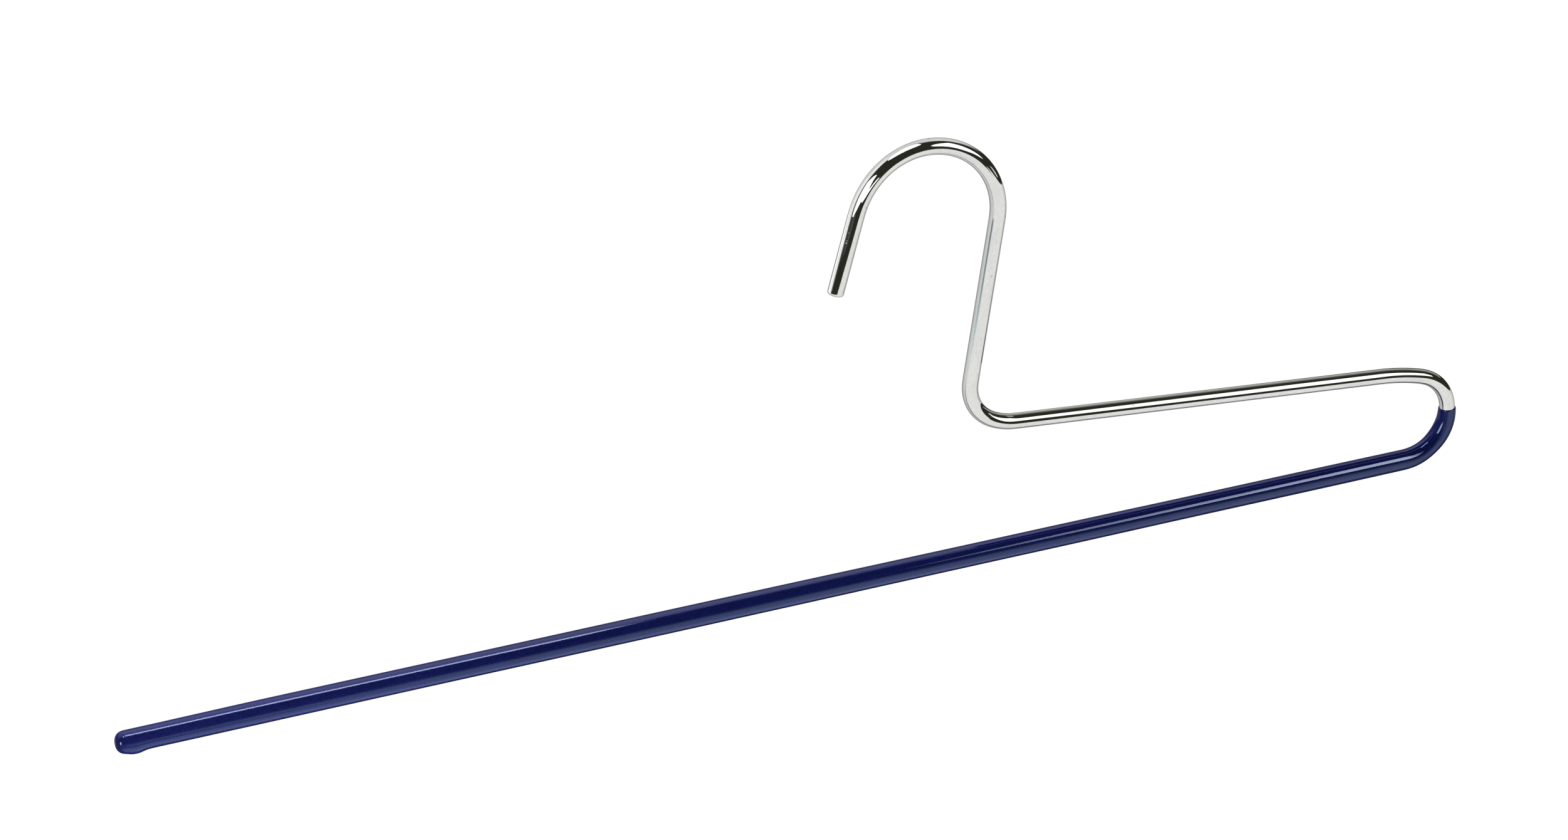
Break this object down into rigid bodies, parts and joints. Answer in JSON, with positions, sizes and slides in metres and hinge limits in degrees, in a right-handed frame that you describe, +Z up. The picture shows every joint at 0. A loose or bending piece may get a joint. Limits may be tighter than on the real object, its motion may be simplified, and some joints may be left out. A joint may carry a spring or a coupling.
{
  "type": "trouser hanger",
  "caption": "Open-ended trouser hanger bent from one round chrome wire, with a fixed hook and a glossy navy dipped sleeve on its long lower bar.",
  "frame": {"origin": "highest point of the inside of the hook, where the hanger sits on its rail", "axes": "+X along the bar towards the closed U-bend, +Z up, Y through the wire's thickness; the whole centreline lies in y = 0"},
  "size_m": [0.35, 0.0058, 0.1158],
  "materials": {
    "chrome_wire": "bright chrome plate on drawn round wire, fine pits and faint scuffs",
    "navy_pvc": "glossy soft PVC dip coat, deep navy blue"
  },
  "bodies": {
    "root": {"wire_frame": "chrome_wire", "bar_coating": "navy_pvc"}
  },
  "joints": []
}
